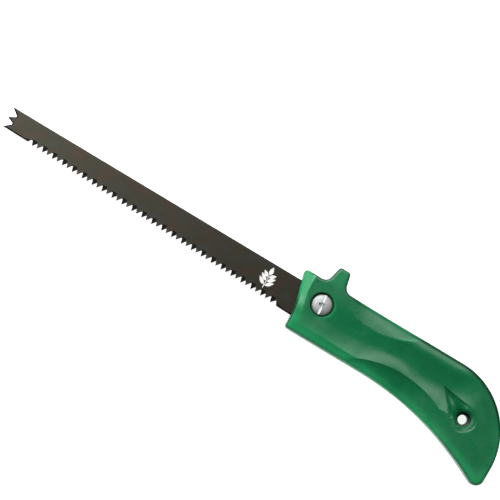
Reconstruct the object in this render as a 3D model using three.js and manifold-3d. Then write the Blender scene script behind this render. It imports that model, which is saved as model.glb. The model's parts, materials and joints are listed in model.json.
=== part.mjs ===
// Folding pruning saw: a long steel blade with a forked tip turns on a clamped bush inside a
// handle made of two moulded half shells. Millimetres, +Z up, the saw lying on its far shell.
// Inside this file every piece is placed about the pivot axis: X runs along the saw with the
// blade towards -X, Y runs from the teeth (-Y) to the back (+Y), and Z = 0 is the blade's middle.
import * as THREE from 'three';
import { mergeVertices } from 'three/addons/utils/BufferGeometryUtils.js';
import Module from 'manifold-3d';

const wasm = await Module();
wasm.setup();

// ---- driving dimensions -------------------------------------------------------------------

const halfThickness = 11;
const partingGap = 0.1;
const edgeInset = 1.6;
const edgeDrop = 2.4;

// Handle outline, counter-clockwise from the lower front corner: [x, y, corner radius].
const spineY = 14.8;
const bellyY = -25;
const frontX = -13.8;
const hornX = -21.6;
const tailX = 151;
const handleCorners = [
  [frontX, bellyY, 2],
  [93, bellyY, 207],
  [tailX, -54, 5.5],
  [tailX - 1.6, spineY, 51.5],
  [8.8, spineY, 5.6],
  [5.9, 27.5, 1.8],
  [-1.9, 27.5, 1.8],
  [-4.7, spineY, 5.4],
  [hornX, spineY + 0.5, 2.2],
  [frontX, -12.7, 64],
];
const arcStep = 3;

// Slot that takes the folding blade, open at the front, along the belly and at the tail.
const slotHalfWidth = 1.2;
const slotTopY = 7.9;
const slotHeelRadius = 12.6;
const slotHeelEndAngle = 80;
const slotShoulder = [18.2, 13];
const slotTailPoint = [160, -29.5];
const slotReach = 70;

// Relief pressed into both outer faces.
const thumbScoop = { x: 36, y: 55.8, crestRadius: 53, slope: 0.3 };
const fingerScoop = { x: 70.5, y: -86.2, crestRadius: 75, slope: 0.24 };
const gripChannel = { x: 62, y: -3.5, halfLength: 52, halfWidth: 11.5, depth: 2.2, radius: 30 };
const frontChamfer = { width: 4.6, drop: 2.6, setBack: 1.2 };

// Hollows moulded into each shell's inner side, with ribs and screw bosses left standing.
const coreWall = 3;
const coreStartX = 15;
const coreDepth = 4.6;
const ribPitch = 17;
const ribThickness = 1.8;
const ribCount = 8;
const bossRadius = 4;
const hangBossRadius = 7.4;

// Pivot stack.
const cheekTop = 5;
const counterboreRadius = 8;
const bushRadius = 4.9;
const bushBore = 3.1;
const bushRoom = 0.12;
const bladeBore = 5;
const shankRadius = 2.95;
const headRadius = 6.9;
const headBase = 7.15;
const headHeight = 3.3;
const screwEndZ = -10.6;
const nutAcrossFlats = 10;
const nutPocketAcrossFlats = 10.5;
const nutHeight = 5;
const liftGap = 0.05;
const washerBore = 3.2;
const headWasherRadius = 7.2;
const headWasherHeight = 0.8;
const springWasherRadius = 5.6;
const springWasherBase = 5.95;
const frictionWasherRadius = 8.6;
const drive = { slotWidth: 1.3, slotDepth: 1.4, crossLength: 4.6, crossDepth: 2.3 };

// Hanging hole through the tail: a wide mouth on each side that steps down to a narrow throat.
const hangHole = { x: 118.5, y: -17, mouthRadius: 4.85, throatRadius: 3.2, mouthZ: 4.4, throatZ: 3 };

// Blade.
const bladeHalfThickness = 0.6;
const backY = 7.5;
const tipX = -241;
const tipLowY = -7;
const prongX = -240.3;
const tipNotch = { x: -236.6, radius: 1.1, upperY: 3.1, lowerY: -2.7 };
const smoothEndX = -221;
const firstToothX = -217.2;
const toothPairs = 24;
const pairPitch = 7.8;
const smallToothStep = 3.55;
const toothLineY = -8.1;
const toothLineSlope = -0.04;
const bigToothDrop = 0.3;
const gulletPlace = 0.68;
const shallowGullet = 2.9;
const deepGullet = 3.3;
const firstGullet = [[-219.6, -5.2], [-218.4, -5]];
const heelRadius = 12;
const heelCorner = [-13.2, -16.2];
const heelEndAngle = -105;
const heelEdgeX = -25.3;
const toothLineEndY = -15.8;

// Stop pin and the screws that hold the shells together.
const stopPin = { x: -12.5, y: 9.7, radius: 2, halfLength: 6 };
const shellScrews = [
  { name: 'shell_screw_tab', x: 2.1, y: 20 },
  { name: 'shell_screw_spine', x: 76, y: 6.5 },
  { name: 'shell_screw_hang', x: 106, y: 3 },
  { name: 'shell_screw_tail', x: 135, y: -12 },
];
const shellScrew = { shank: 1.45, head: 2.7, headHeight: 1.9, seatZ: -5.6, endZ: 7.4, room: 0.2 };

// ---- materials ----------------------------------------------------------------------------

const plastic = new THREE.MeshStandardMaterial({ color: '#1f8552', roughness: 0.35, metalness: 0 });
const bladeSteel = new THREE.MeshStandardMaterial({ color: '#4a4640', roughness: 0.45, metalness: 0.6 });
const zinc = new THREE.MeshStandardMaterial({ color: '#b9bcbd', roughness: 0.35, metalness: 0.9 });
const nylon = new THREE.MeshStandardMaterial({ color: '#e4e0d4', roughness: 0.55, metalness: 0 });

// ---- solid helpers ------------------------------------------------------------------------

function toSolid(geometry) {
  geometry.deleteAttribute('normal');
  geometry.deleteAttribute('uv');
  const merged = mergeVertices(geometry, 1e-4);
  return new wasm.Manifold(new wasm.Mesh({
    numProp: 3,
    vertProperties: new Float32Array(merged.attributes.position.array),
    triVerts: new Uint32Array(merged.index.array),
  }));
}

function toMesh(name, solid, material) {
  const raw = solid.getMesh();
  const geometry = new THREE.BufferGeometry();
  geometry.setAttribute('position', new THREE.BufferAttribute(raw.vertProperties, 3));
  geometry.setIndex(new THREE.BufferAttribute(raw.triVerts, 1));
  geometry.computeVertexNormals();
  const mesh = new THREE.Mesh(geometry, material);
  mesh.name = name;
  return mesh;
}

function prism(points, low, high) {
  const shape = new THREE.Shape(points);
  const geometry = new THREE.ExtrudeGeometry(shape, { depth: high - low, bevelEnabled: false });
  return toSolid(geometry.translate(0, 0, low));
}

// A body turned about the Z axis through (x, y); the profile lists [radius, z] pairs.
function turned(profile, x = 0, y = 0, sides = 32) {
  const points = profile.map(([radius, z]) => new THREE.Vector2(radius, z));
  const geometry = new THREE.LatheGeometry(points, sides).rotateX(Math.PI / 2);
  return toSolid(geometry.translate(x, y, 0));
}

function rod(radius, low, high, x = 0, y = 0, sides = 32) {
  return turned([[0, low], [radius, low], [radius, high], [0, high]], x, y, sides);
}

function box(sizeX, sizeY, low, high, x = 0, y = 0) {
  const geometry = new THREE.BoxGeometry(sizeX, sizeY, high - low);
  return toSolid(geometry.translate(x, y, (low + high) / 2));
}

function mirroredInZ(solid) {
  return solid.mirror([0, 0, 1]);
}

// ---- outlines -----------------------------------------------------------------------------

// Points along an arc, both ends included; angles in radians.
function arcPoints(x, y, radius, start, end) {
  const steps = Math.max(3, Math.ceil(Math.abs(end - start) * radius / arcStep));
  const point = (k) => {
    const angle = start + (end - start) * k / steps;
    return new THREE.Vector2(x + radius * Math.cos(angle), y + radius * Math.sin(angle));
  };
  return Array.from({ length: steps + 1 }, (_, k) => point(k));
}

// A closed outline from corners, each rounded by an arc that touches both of its edges.
function roundedOutline(corners) {
  const at = (i) => new THREE.Vector2(...corners[(i + corners.length) % corners.length]);
  return corners.flatMap(([, , radius], i) => {
    const before = at(i - 1).sub(at(i)).normalize();
    const after = at(i + 1).sub(at(i)).normalize();
    const half = Math.acos(before.dot(after)) / 2;
    const middle = before.clone().add(after).normalize();
    const centre = at(i).addScaledVector(middle, radius / Math.sin(half));
    const touch = at(i).addScaledVector(before, radius / Math.tan(half)).sub(centre);
    const turn = Math.sign(before.cross(after)) * (2 * half - Math.PI);
    return arcPoints(centre.x, centre.y, radius, touch.angle(), touch.angle() + turn);
  });
}

// The corners of the same outline moved inwards, so that every edge shifts by the distance.
function insetCorners(corners, distance) {
  const at = (i) => new THREE.Vector2(...corners[(i + corners.length) % corners.length]);
  return corners.map(([, , radius], i) => {
    const before = at(i - 1).sub(at(i)).normalize();
    const after = at(i + 1).sub(at(i)).normalize();
    const half = Math.acos(before.dot(after)) / 2;
    const inward = -Math.sign(before.cross(after));
    const shift = inward * distance / Math.sin(half);
    const corner = at(i).addScaledVector(before.add(after).normalize(), shift);
    return [corner.x, corner.y, Math.max(radius - inward * distance, 0.5)];
  });
}

const radians = THREE.MathUtils.degToRad;

// ---- handle shells ------------------------------------------------------------------------

// The whole handle before it is split: its outline with the outer edges eased.
function handleBlank() {
  const geometry = new THREE.ExtrudeGeometry(new THREE.Shape(roundedOutline(handleCorners)), {
    depth: 2 * (halfThickness - edgeDrop),
    bevelEnabled: true,
    bevelThickness: edgeDrop,
    bevelSize: edgeInset,
    bevelOffset: -edgeInset,
    bevelSegments: 3,
  });
  return toSolid(geometry.translate(0, 0, edgeDrop - halfThickness));
}

// A dished cutter: its cone rises to the face at the crest radius, and the face stays outside it.
function dish({ x, y, crestRadius, slope }) {
  const top = halfThickness + 1;
  const brim = crestRadius + slope ** -1;
  return turned([[0, halfThickness - slope * crestRadius], [brim, top], [0, top]], x, y, 96);
}

// A long shallow hollow: a stretched ball that dips into the face.
function channel({ x, y, halfLength, halfWidth, depth, radius }) {
  const ball = new THREE.SphereGeometry(radius, 48, 48);
  const reach = Math.sqrt(radius ** 2 - (radius - depth) ** 2);
  ball.scale(halfLength / reach, halfWidth / reach, 1);
  return toSolid(ball.translate(x, y, halfThickness - depth + radius));
}

// The bright strip down the front edge: a wedge that follows the edge's lean.
function frontWedge() {
  const { width, drop, setBack } = frontChamfer;
  const section = [[-width, 1], [width, 1], [0, -drop], [-width, -drop]];
  const shape = new THREE.Shape(section.map(([across, up]) => new THREE.Vector2(across, up)));
  const length = spineY - bellyY + 10;
  const geometry = new THREE.ExtrudeGeometry(shape, { depth: length, bevelEnabled: false });
  geometry.rotateX(Math.PI / 2).translate(0, length / 2, halfThickness);
  const lean = Math.atan2(hornX - frontX, spineY - bellyY);
  geometry.rotateZ(-lean).translate((frontX + hornX) / 2 + setBack, (spineY + bellyY) / 2, 0);
  return toSolid(geometry);
}

function slotCutter() {
  const heelStart = Math.PI - Math.asin(slotTopY / slotHeelRadius);
  const points = [
    new THREE.Vector2(-slotReach, slotTopY),
    ...arcPoints(0, 0, slotHeelRadius, heelStart, radians(slotHeelEndAngle)),
    new THREE.Vector2(...slotShoulder),
    new THREE.Vector2(...slotTailPoint),
    new THREE.Vector2(slotTailPoint[0], -slotReach),
    new THREE.Vector2(-slotReach, -slotReach),
  ];
  return prism(points, -slotHalfWidth, slotHalfWidth);
}

function hangHoleCutter() {
  const { x, y, mouthRadius, throatRadius, mouthZ, throatZ } = hangHole;
  const endZ = halfThickness + 1;
  const profile = [
    [0, -endZ], [mouthRadius, -endZ], [mouthRadius, -mouthZ],
    [throatRadius, -throatZ], [throatRadius, throatZ],
    [mouthRadius, mouthZ], [mouthRadius, endZ], [0, endZ],
  ];
  return turned(profile, x, y, 32);
}

// The hollows inside a shell: its outline less the outer wall, the ribs and the bosses.
function coreCutter() {
  const outline = roundedOutline(insetCorners(handleCorners, coreWall));
  const length = tailX - coreStartX;
  let core = prism(outline, -1, coreDepth);
  core = core.intersect(box(length, 2 * slotReach, -1, coreDepth, coreStartX + length / 2));
  for (let k = 1; k < ribCount; k += 1) {
    const rib = box(ribThickness, 2 * slotReach, -1, coreDepth + 1, coreStartX + k * ribPitch);
    core = core.subtract(rib);
  }
  for (const { x, y } of shellScrews) {
    core = core.subtract(rod(bossRadius, -1, coreDepth + 1, x, y, 24));
  }
  return core.subtract(rod(hangBossRadius, -1, coreDepth + 1, hangHole.x, hangHole.y, 32));
}

// The half of the handle above the parting plane, with everything both shells share.
function shellHalf() {
  const reach = 2 * slotReach;
  let half = handleBlank();
  half = half.intersect(box(4 * reach, 2 * reach, partingGap, halfThickness + 1));
  half = half.subtract(slotCutter());
  half = half.subtract(coreCutter());
  half = half.subtract(dish(thumbScoop));
  half = half.subtract(dish(fingerScoop));
  half = half.subtract(channel(gripChannel));
  half = half.subtract(frontWedge());
  half = half.subtract(hangHoleCutter());
  half = half.subtract(rod(bushRadius + bushRoom, -1, cheekTop + 1, 0, 0, 48));
  const pinRoom = stopPin.radius + bushRoom;
  half = half.subtract(rod(pinRoom, -1, stopPin.halfLength + 0.2, stopPin.x, stopPin.y, 24));
  return half;
}

function nearShell() {
  let shell = shellHalf();
  shell = shell.subtract(rod(counterboreRadius, cheekTop, halfThickness + 1, 0, 0, 48));
  const { shank, room, endZ } = shellScrew;
  for (const { x, y } of shellScrews) {
    shell = shell.subtract(rod(shank + room, -1, endZ + room, x, y, 16));
  }
  return toMesh('near_shell', shell, plastic);
}

function farShell() {
  let shell = shellHalf();
  const pocketRadius = nutPocketAcrossFlats / 2 / Math.cos(Math.PI / 6);
  shell = shell.subtract(rod(pocketRadius, cheekTop, halfThickness + 1, 0, 0, 6));
  const { shank, head, seatZ, room } = shellScrew;
  for (const { x, y } of shellScrews) {
    shell = shell.subtract(rod(shank + room, -1, halfThickness, x, y, 16));
    shell = shell.subtract(rod(head + room, -seatZ, halfThickness + 1, x, y, 24));
  }
  return toMesh('far_shell', mirroredInZ(shell), plastic);
}

// ---- blade --------------------------------------------------------------------------------

function toothLine(x) {
  return toothLineY + toothLineSlope * (x - firstToothX);
}

// Forked tip, from the back's corner to the lower prong: three points and two round notches.
function tipPoints() {
  const { x: notchX, radius, upperY, lowerY } = tipNotch;
  const opening = radians(60);
  const point = (x, y) => new THREE.Vector2(x, y);
  return [
    point(tipX, backY),
    ...arcPoints(notchX, upperY, radius, opening, -opening),
    point(prongX, 0),
    ...arcPoints(notchX, lowerY, radius, opening, -opening),
    point(prongX, tipLowY),
  ];
}

// Teeth come in pairs, a big one and a small one. Each has a steep flank on the tip side, and
// a deeper gullet follows the small one. The last tooth stands alone.
function toothPoints() {
  const points = [];
  const gulletHalf = 0.3;
  const addTooth = (x, drop, gap, depth) => {
    const tip = toothLine(x) - drop;
    const gulletX = x + gulletPlace * gap;
    points.push(new THREE.Vector2(x, tip));
    points.push(new THREE.Vector2(gulletX - gulletHalf, tip + depth - 0.15));
    points.push(new THREE.Vector2(gulletX + gulletHalf, tip + depth));
  };
  for (let pair = 0; pair <= toothPairs; pair += 1) {
    const bigX = firstToothX + pair * pairPitch;
    const last = pair === toothPairs;
    const gap = last ? pairPitch - smallToothStep : smallToothStep;
    addTooth(bigX, bigToothDrop, gap, shallowGullet);
    if (!last) {
      addTooth(bigX + smallToothStep, 0, pairPitch - smallToothStep, deepGullet);
    }
  }
  return points;
}

function blade() {
  const point = (x, y) => new THREE.Vector2(x, y);
  const shoulderAngle = Math.PI - Math.asin(backY / heelRadius);
  const points = [
    ...tipPoints(),
    point(smoothEndX, tipLowY - 0.2),
    ...firstGullet.map(([x, y]) => point(x, y)),
    ...toothPoints(),
    point(heelEdgeX, toothLineEndY),
    point(...heelCorner),
    ...arcPoints(0, 0, heelRadius, radians(heelEndAngle), shoulderAngle),
  ];
  let plate = prism(points, -bladeHalfThickness, bladeHalfThickness);
  plate = plate.subtract(rod(bladeBore, -1, 1, 0, 0, 48));
  return toMesh('blade', plate, bladeSteel);
}

// ---- pivot hardware -----------------------------------------------------------------------

function ring(inner, outer, low, high, sides = 32) {
  return turned([[inner, low], [outer, low], [outer, high], [inner, high], [inner, low]], 0, 0, sides);
}

// Combination drive: a full-width slot across a cross recess.
function combinationDrive(top) {
  const { slotWidth, slotDepth, crossLength, crossDepth } = drive;
  const slot = box(slotWidth, 2 * headRadius + 1, top - slotDepth, top + 1);
  const across = box(crossLength, slotWidth, top - crossDepth, top + 1);
  const along = box(slotWidth, crossLength, top - crossDepth, top + 1);
  return slot.add(across).add(along);
}

function pivotScrew() {
  const top = headBase + headHeight;
  const rim = headBase + 1.1;
  const profile = [
    [0, screwEndZ], [shankRadius - 0.6, screwEndZ], [shankRadius, screwEndZ + 0.6],
    [shankRadius, headBase], [headRadius, headBase], [headRadius, rim],
    [0.93 * headRadius, rim + 0.75], [0.75 * headRadius, rim + 1.4],
    [0.45 * headRadius, top - 0.25], [0, top],
  ];
  const body = turned(profile, 0, 0, 48);
  const screw = body.subtract(combinationDrive(top));
  return toMesh('pivot_screw', screw, zinc);
}

function pivotNut() {
  const high = -cheekTop - liftGap;
  const low = high - nutHeight;
  const cornerRadius = nutAcrossFlats / 2 / Math.cos(Math.PI / 6);
  const chamfer = cornerRadius - nutAcrossFlats / 2;
  let nut = rod(cornerRadius, low, high, 0, 0, 6);
  const eased = [
    [0, low], [nutAcrossFlats / 2, low], [cornerRadius, low + chamfer],
    [cornerRadius, high - chamfer], [nutAcrossFlats / 2, high], [0, high],
  ];
  nut = nut.intersect(turned(eased, 0, 0, 48));
  nut = nut.subtract(rod(bushBore, low - 1, high + 1, 0, 0, 32));
  return toMesh('pivot_nut', nut, zinc);
}

function pivotBush() {
  const end = cheekTop - liftGap;
  return toMesh('pivot_bush', ring(bushBore, bushRadius, -end, end, 48), zinc);
}

function headWasher() {
  const low = cheekTop + liftGap;
  const washer = ring(washerBore, headWasherRadius, low, low + headWasherHeight);
  return toMesh('head_washer', washer, zinc);
}

// A split spring washer, cut through on a slant.
function springWasher() {
  const low = springWasherBase;
  const washer = ring(washerBore, springWasherRadius, low, headBase - liftGap);
  const cut = new THREE.BoxGeometry(4, 0.7, 4).rotateX(radians(20)).translate(4.4, 0, low + 0.6);
  return toMesh('spring_washer', washer.subtract(toSolid(cut)), zinc);
}

function frictionWasher(name, side) {
  const low = bladeHalfThickness + liftGap;
  const washer = ring(bushRadius + bushRoom, frictionWasherRadius, low, slotHalfWidth - liftGap);
  return toMesh(name, side > 0 ? washer : mirroredInZ(washer), nylon);
}

function stopPinMesh() {
  const { x, y, radius, halfLength } = stopPin;
  const ease = 0.4;
  const profile = [
    [0, -halfLength], [radius - ease, -halfLength], [radius, ease - halfLength],
    [radius, halfLength - ease], [radius - ease, halfLength], [0, halfLength],
  ];
  return toMesh('stop_pin', turned(profile, x, y, 24), zinc);
}

// A self-tapping screw put in from the far side: pan head, straight shank and short point.
function shellScrewMesh({ name, x, y }) {
  const { shank, head, headHeight: height, seatZ, endZ } = shellScrew;
  const seat = seatZ - liftGap;
  const profile = [
    [0, seat - height], [0.6 * head, seat - height], [head, seat - 0.4 * height],
    [head, seat], [shank, seat], [shank, endZ - 2], [0.5, endZ], [0, endZ],
  ];
  const body = turned(profile, x, y, 16);
  const drive = box(2.6, 0.6, seat - height - 1, seat - 0.9, x, y)
    .add(box(0.6, 2.6, seat - height - 1, seat - 0.9, x, y));
  return toMesh(name, body.subtract(drive), zinc);
}

// ---- assembly -----------------------------------------------------------------------------

const saw = new THREE.Group();
saw.add(
  nearShell(),
  farShell(),
  blade(),
  pivotScrew(),
  pivotNut(),
  pivotBush(),
  headWasher(),
  springWasher(),
  frictionWasher('friction_washer_near', 1),
  frictionWasher('friction_washer_far', -1),
  stopPinMesh(),
  ...shellScrews.map(shellScrewMesh),
);

// The origin moves from the pivot to the middle of the underside, so the saw rests on Z = 0.
const bounds = new THREE.Box3().setFromObject(saw);
const centre = bounds.getCenter(new THREE.Vector3());
saw.position.set(-centre.x, -centre.y, -bounds.min.z);

export default saw;
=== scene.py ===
"""Looks of the folding pruning saw: sculpted handle shells, ground blade, zinc hardware.

Shapes are worked out in millimetres about the pivot axis, X along the saw towards the tail, Y
towards the blade's back, Z = 0 in the blade's middle plane, and are moved into the frame at the end.
"""
import json
import math

import bmesh
import bpy
import numpy as np
from mathutils import Matrix, Vector
from mathutils.geometry import delaunay_2d_cdt


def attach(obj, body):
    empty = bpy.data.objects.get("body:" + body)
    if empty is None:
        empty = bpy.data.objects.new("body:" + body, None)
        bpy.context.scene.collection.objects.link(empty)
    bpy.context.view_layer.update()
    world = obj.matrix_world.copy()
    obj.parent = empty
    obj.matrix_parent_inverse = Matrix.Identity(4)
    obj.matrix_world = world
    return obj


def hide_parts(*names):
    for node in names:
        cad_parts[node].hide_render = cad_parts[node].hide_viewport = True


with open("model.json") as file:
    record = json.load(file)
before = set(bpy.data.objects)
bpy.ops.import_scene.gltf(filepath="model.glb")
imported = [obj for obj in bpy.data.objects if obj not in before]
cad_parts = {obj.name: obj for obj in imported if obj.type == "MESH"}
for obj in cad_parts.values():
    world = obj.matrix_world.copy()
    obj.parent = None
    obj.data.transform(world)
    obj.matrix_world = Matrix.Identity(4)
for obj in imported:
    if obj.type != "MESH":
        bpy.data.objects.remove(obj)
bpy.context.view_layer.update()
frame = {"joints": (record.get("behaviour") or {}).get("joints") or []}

MM = 0.001
PIVOT = Vector(frame["joints"][0]["pos_m"])

# ---- driving dimensions, in millimetres

FACE = 11.0
PARTING = 0.1
BELLY_Y = -25.0
SPINE_Y = 14.8
FRONT_X = -13.8
TAIL_X = 151.0
HORN_X = -21.6
HANDLE_CORNERS = [
    (FRONT_X, BELLY_Y, 2.0),
    (93.0, BELLY_Y, 207.0),
    (TAIL_X, -54.0, 5.5),
    (TAIL_X - 1.6, SPINE_Y, 51.5),
    (8.8, SPINE_Y, 5.6),
    (5.9, 27.5, 1.8),
    (-1.9, 27.5, 1.8),
    (-4.7, SPINE_Y, 5.4),
    (HORN_X, SPINE_Y + 0.5, 2.2),
    (FRONT_X, -12.7, 64.0),
]

SLOT_HALF_WIDTH = 1.2
SLOT_TOP_Y = 7.9
SLOT_HEEL_RADIUS = 12.6
SLOT_SHOULDER = (18.2, 13.0)
SLOT_TAIL = (160.0, -29.5)
SLOT_REACH = 70.0

CHEEK_TOP = 5.0
CORE_DEPTH = 4.6
CORE_WALL = 3.0
CORE_START_X = 15.0
RIB_PITCH = 17.0
RIB_COUNT = 8
RIB_THICKNESS = 1.8
BOSS_RADIUS = 4.0
HANG = (118.5, -17.0)
HANG_RADIUS = 3.2
HANG_BOSS_RADIUS = 7.4
HANG_MOUTH = (118.75, -16.5)

THUMB = (36.0, 55.8, 53.0)
FINGER = (68.4, -86.6, 75.0)
CREST_Y = -18.5

FIT_GAP = 0.12
COUNTERBORE_RADIUS = 7.9
BUSH_RADIUS = 4.9
NUT_HALF = 5.0
PIN = (-12.5, 9.7)
PIN_RADIUS = 2.0
PIN_HALF = 6.0
PILOT_RADIUS = 1.65
HEAD_BORE_RADIUS = 2.9
SHELL_SCREWS = {
    "shell_screw_tab": (2.1, 20.0),
    "shell_screw_spine": (76.0, 6.5),
    "shell_screw_hang": (106.0, 3.0),
    "shell_screw_tail": (135.0, -12.0),
}

BLADE_HALF = 0.6
BACK_Y = 7.5
TIP_X = -241.0
FIRST_TOOTH_X = -217.2
TOOTH_PAIRS = 24
PAIR_PITCH = 7.8
SMALL_STEP = 3.55
HEEL_RADIUS = 12.0
HEEL_CORNER = (-13.2, -16.2)
FORK_X = -236.6
FORK_RADIUS = 0.8
DRIVE_TURN = math.radians(98)


# ---- small helpers

def smooth(low, high, value):
    """0 below low, 1 above high, with a smooth rise between them."""
    t = np.clip((value - low) / (high - low), 0.0, 1.0)
    return t * t * (3 - 2 * t)


def fall(low, high, value):
    """1 below low, 0 above high."""
    return 1 - smooth(low, high, value)


def positive(value):
    return np.clip(value, 0.0, None)


def depth_in(circle, x, y):
    """How far each point lies inside a circle: negative outside it."""
    cx, cy, radius = circle
    return radius - np.hypot(x - cx, y - cy)


def arc(x, y, radius, start, end, step=1.0):
    """Points along an arc, both ends included; angles in radians."""
    count = max(3, math.ceil(abs(end - start) * radius / step))
    angles = np.linspace(start, end, count + 1)
    return [(x + radius * math.cos(a), y + radius * math.sin(a)) for a in angles]


def corner_frame(corners, i):
    before = Vector(corners[i - 1][:2]) - Vector(corners[i][:2])
    after = Vector(corners[(i + 1) % len(corners)][:2]) - Vector(corners[i][:2])
    before.normalize()
    after.normalize()
    half = math.acos(max(-1.0, min(1.0, before.dot(after)))) / 2
    side = -math.copysign(1.0, before.x * after.y - before.y * after.x)
    return before, after, half, side


def rounded_outline(corners, step=1.0):
    """A closed outline from corners, each rounded by an arc that touches both of its edges."""
    points = []
    for i, (x, y, radius) in enumerate(corners):
        before, after, half, side = corner_frame(corners, i)
        middle = (before + after).normalized()
        centre = Vector((x, y)) + middle * (radius / math.sin(half))
        touch = Vector((x, y)) + before * (radius / math.tan(half)) - centre
        start = math.atan2(touch.y, touch.x)
        points += arc(centre.x, centre.y, radius, start, start + side * (math.pi - 2 * half), step)
    return points


def inset_corners(corners, distance):
    """The same corners moved inwards, so that every edge shifts by the distance."""
    moved = []
    for i, (x, y, radius) in enumerate(corners):
        before, after, half, side = corner_frame(corners, i)
        place = Vector((x, y)) + (before + after).normalized() * (side * distance / math.sin(half))
        moved.append((place.x, place.y, max(radius - side * distance, 0.05)))
    return moved


def spaced(points, step):
    """A closed polyline with long edges divided to about the step."""
    result = []
    for (x0, y0), (x1, y1) in zip(points, points[1:] + points[:1]):
        count = max(1, round(math.hypot(x1 - x0, y1 - y0) / step))
        result += [(x0 + (x1 - x0) * k / count, y0 + (y1 - y0) * k / count) for k in range(count)]
    return result


def distance_to_path(points, path, closed=True):
    """Distance from each point to a polyline."""
    pts = np.asarray(points, float)
    ends = np.asarray(path, float)
    starts = ends if closed else ends[:-1]
    stops = np.roll(ends, -1, axis=0) if closed else ends[1:]
    best = np.full(len(pts), 1e9)
    for a, b in zip(starts, stops):
        edge = b - a
        length = max(edge @ edge, 1e-12)
        t = np.clip(((pts - a) @ edge) / length, 0.0, 1.0)
        gap = pts - a - t[:, None] * edge
        best = np.minimum(best, np.einsum("ij,ij->i", gap, gap))
    return np.sqrt(best)


def inside(points, path):
    """Which points lie inside a closed polyline."""
    pts = np.asarray(points, float)
    result = np.zeros(len(pts), bool)
    for (x0, y0), (x1, y1) in zip(path, path[1:] + path[:1]):
        if y0 == y1:
            continue
        crosses = (y0 > pts[:, 1]) != (y1 > pts[:, 1])
        reach = x0 + (pts[:, 1] - y0) * (x1 - x0) / (y1 - y0)
        result ^= crosses & (pts[:, 0] < reach)
    return result


def swung(points, heading, x=0.0, y=0.0):
    """Flat points turned about the origin, then moved to (x, y)."""
    c, s = math.cos(heading), math.sin(heading)
    return [(x + a * c - b * s, y + a * s + b * c) for a, b in points]


def added(name, data):
    """A new object in the scene."""
    obj = bpy.data.objects.new(name, data)
    bpy.context.scene.collection.objects.link(obj)
    return obj


def mesh_object(name, verts, faces):
    """A new object from millimetre points about the pivot, moved into the frame in metres."""
    mesh = bpy.data.meshes.new(name)
    mesh.from_pydata([tuple(Vector(v) * MM + PIVOT) for v in verts], [], faces)
    mesh.update()
    return added(name, mesh)


def tidy_normals(obj, angle=35.0):
    """Outward normals, smooth shading, and creases kept sharp above the angle."""
    work = bmesh.new()
    work.from_mesh(obj.data)
    bmesh.ops.remove_doubles(work, verts=work.verts, dist=1e-7)
    bmesh.ops.dissolve_degenerate(work, edges=work.edges, dist=1e-7)
    bmesh.ops.recalc_face_normals(work, faces=work.faces)
    work.to_mesh(obj.data)
    work.free()
    obj.data.polygons.foreach_set("use_smooth", [True] * len(obj.data.polygons))
    obj.data.set_sharp_from_angle(angle=math.radians(angle))
    return obj


def prism(points, low, high):
    """A straight-sided solid from an outline."""
    count = len(points)
    verts = [(x, y, low) for x, y in points] + [(x, y, high) for x, y in points]
    faces = [tuple(range(count - 1, -1, -1)), tuple(range(count, 2 * count))]
    faces += [(k, (k + 1) % count, (k + 1) % count + count, k + count) for k in range(count)]
    return verts, faces


def turned(profile, x=0.0, y=0.0, sides=96):
    """A body turned about the Z axis through (x, y). The profile lists (radius, z) pairs; it
    starts and ends on the axis, or closes on itself when it doesn't touch the axis."""
    angles = [2 * math.pi * k / sides for k in range(sides)]
    verts, starts = [], []
    for radius, z in profile:
        starts.append(len(verts))
        if radius < 1e-9:
            verts.append((x, y, z))
        else:
            verts += [(x + radius * math.cos(a), y + radius * math.sin(a), z) for a in angles]
    count = len(profile)
    faces = []
    for i in range(count if profile[0][0] > 1e-9 else count - 1):
        j = (i + 1) % count
        a, b = starts[i], starts[j]
        on_axis = (profile[i][0] < 1e-9, profile[j][0] < 1e-9)
        for k in range(sides):
            n = (k + 1) % sides
            if on_axis == (True, False):
                faces.append((a, b + n, b + k))
            elif on_axis == (False, True):
                faces.append((a + k, a + n, b))
            elif on_axis == (False, False):
                faces.append((a + k, a + n, b + n, b + k))
    return verts, faces


def bore(radius, low, high, x=0.0, y=0.0, sides=64):
    """A plain round or many-sided pin, mostly used to cut a hole."""
    return turned([(0, low), (radius, low), (radius, high), (0, high)], x, y, sides)


def block(size_x, size_y, low, high, x=0.0, y=0.0):
    hx, hy = size_x / 2, size_y / 2
    return prism([(x - hx, y - hy), (x + hx, y - hy), (x + hx, y + hy), (x - hx, y + hy)], low, high)


def solid(name, shape, angle=35.0):
    return tidy_normals(mesh_object(name, *shape), angle)


def combine(obj, cutter, operation="DIFFERENCE"):
    """Cuts or joins with another object, applies the result and removes the other one."""
    modifier = obj.modifiers.new("combine", "BOOLEAN")
    modifier.operation = operation
    modifier.solver = "MANIFOLD"
    modifier.object = cutter
    graph = bpy.context.evaluated_depsgraph_get()
    graph.update()
    result = bpy.data.meshes.new_from_object(obj.evaluated_get(graph))
    obj.modifiers.clear()
    old = obj.data
    obj.data = result
    result.name = obj.name
    bpy.data.meshes.remove(old)
    bpy.data.meshes.remove(cutter.data)
    return obj


def cut(obj, *shapes):
    for shape in shapes:
        combine(obj, solid("cutter", shape))


def mirror_z(obj):
    """Turns a near-side piece into its far-side twin."""
    obj.data.transform(Matrix.Translation(PIVOT) @ Matrix.Scale(-1, 4, (0, 0, 1))
                       @ Matrix.Translation(-PIVOT))
    return tidy_normals(obj)


# ---- the handle's outer surface

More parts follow.
